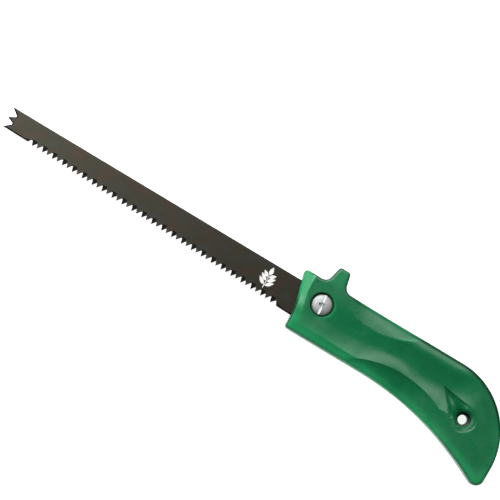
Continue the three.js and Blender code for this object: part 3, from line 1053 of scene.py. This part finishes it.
def green_plastic():
    """Glossy moulded plastic in a deep green, with painted light where the wall turns over an edge
    and at a few highlights, and painted shade along the edges and in the hanging hole.
    """
    s = Shader("green_plastic", Metallic=0.0, IOR=1.49, Specular_IOR_Level=0.5)
    cloud = s.noise(55.0, 3.0)
    body = s.ramp(cloud, (0.3, (0.0036, 0.128, 0.044)), (0.7, (0.0055, 0.158, 0.057)))
    blotch = s.noise(300.0, 3.0)
    body = s.mix(s.grey(blotch, 0.0, 0.5), body, (0.0030, 0.112, 0.040))
    speckle = s.noise(900.0, 2.0)
    body = s.mix(s.grey(speckle, 0.0, 0.16), body, (0.012, 0.200, 0.080))
    # Painted light: a brighter green where the shell glows at its edges, strip and tab, and at the
    # painted highlights.
    color = s.mix(s.product(s.attribute("painted_light"), 0.85), body, (0.018, 0.30, 0.108))
    # Painted shade along the outer edge.
    color = s.mix(s.product(s.attribute("rim"), 0.9), color, (0.002, 0.030, 0.013))
    # Painted shade inside the hanging hole.
    color = s.mix(s.product(s.attribute("deep"), 0.9), color, (0.0015, 0.008, 0.004))
    s.link(s.grey(s.attribute("wall"), 0.5, 0.1, 0.0, 1.0), s.bsdf.inputs["Specular IOR Level"])
    roughness = s.grey(s.noise(140.0, 4.0), 0.23, 0.37)
    peel = s.bump(s.noise(420.0, 2.0), 0.16, 0.0004)
    fine = s.bump(s.noise(2600.0, 2.0), 0.06, 0.00015, peel)
    return s.finish(color, roughness, fine)


def blade_steel():
    """Brown-black lacquered plate with faint rolling lines, painted light towards the tip, a paler
    back chamfer that is partly wear and partly a painted highlight, painted highlights on the small
    teeth, and painted shade on the other ground teeth and edges.
    """
    s = Shader("blade_steel", Metallic=0.2, Specular_IOR_Level=0.18)
    lines = s.noise(1.0, 4.0, 0.6, s.stretched((60.0, 2600.0, 200.0)))
    cloud = s.noise(95.0, 3.0)
    dark = s.ramp(cloud, (0.36, (0.030, 0.019, 0.013)), (0.5, (0.022, 0.021, 0.013)),
                  (0.64, (0.024, 0.024, 0.021)))
    pale = s.ramp(cloud, (0.36, (0.084, 0.060, 0.042)), (0.5, (0.062, 0.060, 0.036)),
                  (0.64, (0.064, 0.062, 0.050)))
    # Painted light: the plate is painted paler towards the tip, in soft clouds.
    painted_tip_light = s.product(s.along_x(HEEL_END, TIP_END), s.grey(s.noise(16.0), 0.6, 1.0))
    base = s.mix(s.product(painted_tip_light, 0.62), dark, pale)
    base = s.mix(s.grey(lines, 0.0, 0.3), base, (0.046, 0.041, 0.032))
    # The back chamfer is painted paler, partly wear and partly a painted highlight; the small teeth
    # get a weaker painted highlight.
    wear_and_highlight = s.product(s.attribute("wear_and_highlight"), s.grey(s.noise(500.0, 4.0), 0.35, 0.9))
    base = s.mix(wear_and_highlight, base, (0.12, 0.115, 0.105))
    # Painted shade: the ground tooth faces and bevels are painted near black.
    color = s.mix(s.attribute("ground"), base, (0.010, 0.009, 0.008))
    roughness = s.grey(s.noise(1.0, 4.0, 0.6, s.stretched((90.0, 1800.0, 200.0))), 0.38, 0.52)
    grain = s.bump(lines, 0.12, 0.00008)
    return s.finish(color, roughness, grain)


def zinc(name, color, low, high):
    """Bright zinc plating with a fine grain and slightly cloudy colour, and a painted highlight in
    the screwdriver slot.
    """
    s = Shader(name, Metallic=1.0)
    cloud = s.noise(700.0, 4.0)
    shade = tuple(0.82 * c for c in color)
    tone = s.mix(s.grey(cloud, 0.0, 1.0), color, shade)
    # Painted highlight: the screwdriver slot is painted pale and less metallic.
    painted_slot_highlight = s.attribute("painted_slot_highlight")
    tone = s.mix(painted_slot_highlight, tone, (0.86, 0.86, 0.85))
    s.link(s.grey(painted_slot_highlight, 1.0, 0.35, 0.0, 1.0), s.bsdf.inputs["Metallic"])
    roughness = s.grey(s.noise(1500.0, 3.0), low, high)
    grain = s.bump(s.noise(3200.0, 3.0), 0.10, 0.00006)
    return s.finish(tone, roughness, grain)


def nylon():
    s = Shader("nylon", Metallic=0.0, IOR=1.53)
    tone = s.ramp(s.noise(400.0), (0.3, (0.74, 0.71, 0.62)), (0.7, (0.80, 0.78, 0.70)))
    roughness = s.grey(s.noise(900.0), 0.42, 0.6)
    return s.finish(tone, roughness, s.bump(s.noise(2200.0), 0.08, 0.0001))


def white_ink():
    """Printed white ink, a little thin in places."""
    s = Shader("white_ink", Metallic=0.0, IOR=1.45)
    thin = s.noise(1400.0, 4.0)
    tone = s.ramp(thin, (0.28, (0.42, 0.41, 0.39)), (0.42, (0.80, 0.80, 0.78)))
    return s.finish(tone, s.grey(thin, 0.5, 0.7), s.bump(thin, 0.1, 0.00005))


def light_table():
    """White paper over a softly lit table, so that the saw throws hardly any shadow."""
    s = Shader("light_table", Metallic=0.0)
    tone = s.ramp(s.noise(6.0, 2.0), (0.3, (0.86, 0.86, 0.86)), (0.7, (0.90, 0.90, 0.90)))
    s.link(tone, s.bsdf.inputs["Emission Color"])
    s.bsdf.inputs["Emission Strength"].default_value = TABLE_GLOW
    return s.finish(tone, s.grey(s.noise(60.0), 0.75, 0.9))


# ---- painted masks

def points_mm(obj):
    """The x, y and z of the vertices, in millimetres about the pivot."""
    co = np.zeros(len(obj.data.vertices) * 3)
    obj.data.vertices.foreach_get("co", co)
    return ((co.reshape(-1, 3) - np.array(PIVOT)) / MM).T


def faces_mm(obj):
    """Each face with its middle, in millimetres about the pivot."""
    return [(poly, (Vector(poly.center) - PIVOT) / MM) for poly in obj.data.polygons]


def paint(obj, name, values):
    """Stores one number for each vertex, for a material to read."""
    layer = obj.data.attributes.new(name, "FLOAT", "POINT")
    layer.data.foreach_set("value", np.asarray(values, np.float32))


def paint_faces(obj, name, values):
    """Stores one number for each face, on its corners."""
    layer = obj.data.attributes.new(name, "FLOAT", "CORNER")
    spread = [v for poly, v in zip(obj.data.polygons, values) for _ in poly.loop_indices]
    layer.data.foreach_set("value", np.asarray(spread, np.float32))


def paint_shell(obj):
    """Painted light and shade on the shell: it glows towards the belly, the front and the tab, where
    light comes through the edge, has painted highlights round the counterbore's mouth and along the
    thumb scoop's crest, and painted shade along the outer edge and in the hanging hole.
    """
    x, y, z = points_mm(obj)
    flat = np.column_stack([x, y])
    rim = distance_to_path(flat, OUTLINE)
    outer = smooth(1.0, 5.0, np.abs(z))
    belly = smooth(0.0, 9.0, SPINE_Y - 22.0 - y)
    reach = 7.5 - 3.5 * smooth(25.0, 60.0, x) + 3.0 * smooth(33.0, 46.0, -y)
    belly = belly * (1 - 0.7 * smooth(136.0, 144.0, x) * smooth(-44.0, -34.0, y))
    front_gap = distance_to_path(flat, FRONT_EDGE, closed=False)
    strip_width = front_width(y)
    strip = fall(strip_width - 0.4, strip_width + 0.6, front_gap)
    strip = strip * (0.4 + 0.6 * smooth(-16.0, 4.0, y))
    tab = 0.35 * smooth(12.0, 20.0, y)
    facing = np.clip(np.cos(np.arctan2(y, x) + math.radians(10)), 0.0, 1.0)
    mouth = np.exp(-((np.hypot(x, y) - 8.7) / 0.6) ** 2) * (z > 9.0) * facing
    thumb = 0.7 * np.exp(-((depth_in(THUMB, x, y) - 0.3) / 0.7) ** 2) * smooth(46.0, 60.0, x)
    # Painted light: the belly edge, front strip and tab are painted glowing, as if lit through the
    # plastic, with painted highlights round the counterbore's mouth and along the thumb scoop's
    # crest.
    painted_light = np.maximum(np.exp(-(rim / reach) ** 2) * belly, strip)
    painted_light = np.maximum(np.maximum(painted_light, tab), np.maximum(mouth, thumb))
    paint(obj, "painted_light", painted_light * outer)
    spine = smooth(-20.0, 0.0, y) * smooth(8.0, 25.0, x)
    band = 1.4 + 1.1 * spine
    # Painted shade along the outer edge, wider on the spine side.
    painted_edge_shade = fall(0.5 + 0.9 * spine, band, rim) * smooth(7.0, 9.5, np.abs(z))
    paint(obj, "rim", painted_edge_shade)
    low_strip = fall(-12.5, -9.0, x) * fall(-10.0, 0.0, y)
    wall = fall(0.2 + 1.2 * spine, 1.0 + 1.7 * spine, rim)
    paint(obj, "wall", np.maximum(wall, low_strip) * outer)
    # Painted shade inside the hanging hole.
    in_mouth = depth_in((*HANG_MOUTH, 4.95), x, y) > 0
    paint(obj, "deep", in_mouth * fall(6.5, 8.0, np.abs(z)))


def paint_slot(obj):
    """The screwdriver slot gets a painted highlight on both sides of the cross."""
    values = []
    for _, centre in faces_mm(obj):
        along = centre.x * math.cos(DRIVE_TURN) + centre.y * math.sin(DRIVE_TURN)
        across = centre.y * math.cos(DRIVE_TURN) - centre.x * math.sin(DRIVE_TURN)
        in_slot = abs(across) < 0.8 and 2.2 < abs(along) < 6.8 and centre.z > 8.6
        values.append(1.0 if in_slot and abs(across) > 0.02 else 0.0)
    paint_faces(obj, "painted_slot_highlight", values)


def paint_blade(obj):
    """The back chamfer is painted paler, partly wear and partly a painted highlight, the small teeth
    get a weaker painted highlight, and the other ground edges get painted shade.
    """
    wear_and_highlight, ground = [], []
    for poly, centre in faces_mm(obj):
        tilted = abs(poly.normal.z) < 0.999
        back = centre.y > 6.5 and centre.x > TIP_X + 7.0
        phase = (centre.x - FIRST_TOOTH_X) % PAIR_PITCH
        small = centre.y < -4.9 and abs(phase - SMALL_STEP) < 1.3 and FIRST_TOOTH_X < centre.x < -25.0
        wear_and_highlight.append(1.0 if tilted and back else (0.7 if tilted and small else 0.0))
        ground.append(1.0 if tilted and not back and not small else 0.0)
    paint_faces(obj, "wear_and_highlight", wear_and_highlight)
    paint_faces(obj, "ground", ground)


# ---- assembly

def place(obj, node, body, material, slot):
    obj.data.materials.clear()
    obj.data.materials.append(material)
    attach(obj, body)
    if node:
        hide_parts(node)


def build_saw():
    green = green_plastic()
    steel = blade_steel()
    bright = zinc("zinc_bright", (0.54, 0.56, 0.55), 0.58, 0.76)
    dull = zinc("zinc_dull", (0.62, 0.61, 0.58), 0.30, 0.48)
    white = nylon()
    for name, node, near in (("near_half", "near_shell", True), ("far_half", "far_shell", False)):
        obj = shell(name, near)
        paint_shell(obj)
        place(obj, node, "handle", green, "handle_plastic")
    plate = blade_plate()
    paint_blade(plate)
    place(plate, "blade", "blade", steel, "blade_steel")
    place(blade_mark(), None, "blade", white_ink(), "blade_steel")
    screw = pivot_screw()
    paint_slot(screw)
    top = CHEEK_TOP - 0.05
    zinc_pieces = {
        "pivot_screw": screw,
        "pivot_nut": pivot_nut(),
        "pivot_bush": eased_ring("pivot_bush_body", 3.1, BUSH_RADIUS, -top, top),
        "head_washer": eased_ring("head_washer_body", 3.2, 7.2, CHEEK_TOP + 0.05, CHEEK_TOP + 0.85),
        "spring_washer": spring_washer(),
    }
    for node, obj in zinc_pieces.items():
        place(obj, node, "handle", bright, "zinc_steel")
    for side, node in ((1, "friction_washer_near"), (-1, "friction_washer_far")):
        ends = sorted((side * 0.65, side * 1.15))
        ring = eased_ring(node + "_ring", BUSH_RADIUS + FIT_GAP, 8.6, *ends, 0.08)
        place(ring, node, "handle", white, "washer_nylon")
    place(stop_pin(), "stop_pin", "handle", bright, "zinc_steel")
    for node, (x, y) in SHELL_SCREWS.items():
        place(shell_screw(node, x, y), node, "handle", dull, "screw_steel")


# ---- stage, light and camera

IMAGE_RIGHT = Vector((0.857, 0.515, 0.0)).normalized()
IMAGE_UP = Vector((-0.515, 0.857, 0.0)).normalized()
VIEW_CENTRE = PIVOT + Vector((-59.1, 6.4, 0.0)) * MM
TABLE_GLOW = 0.96
SKY_FILL = 0.03
SKY_LOBES = (((-0.40, 0.92, 0.0), 49.0, 0.77, 0.96, 2.35),
             ((0.40, 0.92, 0.0), 44.0, 0.92, 0.99, 0.9),
             ((-0.97, -0.25, 0.0), 32.0, 0.84, 0.98, 1.6))
KEY_PLACE = (-0.18, 0.30, 0.42)
KEY_SIZE = 0.40
KEY_POWER = 2.5


def stage_floor():
    half, level = 3.0, -0.0002
    mesh = bpy.data.meshes.new("floor")
    mesh.from_pydata([(-half, -half, level), (half, -half, level), (half, half, level),
                      (-half, half, level)], [], [(0, 1, 2, 3)])
    mesh.materials.append(light_table())
    added("floor", mesh)


def key_light():
    """A square soft light, placed by its offset in the picture's own directions."""
    data = bpy.data.lights.new("key", "AREA")
    data.shape = "SQUARE"
    data.size = KEY_SIZE
    data.energy = KEY_POWER
    light = added("key", data)
    right, up, height = KEY_PLACE
    light.location = VIEW_CENTRE + IMAGE_RIGHT * right + IMAGE_UP * up + Vector((0, 0, height))
    light.rotation_euler = (light.location - VIEW_CENTRE).to_track_quat("Z", "Y").to_euler()


def soft_sky(direction, elevation, start, full, strength, coords, tree):
    """One broad soft lobe of light round the studio, centred on a compass direction."""
    rise = math.radians(elevation)
    aim = Vector(direction).normalized() * math.cos(rise) + Vector((0, 0, math.sin(rise)))
    dot = tree.nodes.new("ShaderNodeVectorMath")
    dot.operation = "DOT_PRODUCT"
    tree.links.new(coords, dot.inputs[0])
    dot.inputs[1].default_value = aim
    return map_range(tree, dot.outputs["Value"], start, full, 0.0, strength, "SMOOTHSTEP")


def sky():
    """The studio's light from all round: a faint fill and a few broad lobes."""
    world = bpy.data.worlds.new("studio")
    world.use_nodes = True
    tree = world.node_tree
    background = tree.nodes["Background"]
    background.inputs["Color"].default_value = (1.0, 1.0, 1.0, 1.0)
    coords = tree.nodes.new("ShaderNodeTexCoord").outputs["Generated"]
    total = None
    for lobe in SKY_LOBES:
        add = tree.nodes.new("ShaderNodeMath")
        add.operation = "ADD"
        tree.links.new(soft_sky(*lobe, coords, tree), add.inputs[0])
        if total is None:
            add.inputs[1].default_value = SKY_FILL
        else:
            tree.links.new(total, add.inputs[1])
        total = add.outputs[0]
    tree.links.new(total, background.inputs["Strength"])
    bpy.context.scene.world = world


def camera():
    """Nearly overhead and far away, rolled so that the saw lies aslant."""
    tilt = math.radians(3.0)
    lean = Vector((-0.37, -0.93, 0.0)).normalized()
    distance = 2.6
    width = 0.328
    away = lean * math.sin(tilt) + Vector((0, 0, math.cos(tilt)))
    data = bpy.data.cameras.new("camera")
    data.sensor_width = 36.0
    data.lens = data.sensor_width * distance / width
    data.clip_end = 20.0
    cam = added("camera", data)
    target = VIEW_CENTRE + Vector((0, 0, FACE * MM))
    right = (IMAGE_RIGHT - away * IMAGE_RIGHT.dot(away)).normalized()
    up = away.cross(right)
    turn = Matrix((right, up, away)).transposed().to_4x4()
    cam.matrix_world = Matrix.Translation(target + away * distance) @ turn
    bpy.context.scene.camera = cam


camera()
build_saw()
stage_floor()
sky()
key_light()
bpy.context.scene.view_settings.view_transform = "Standard"
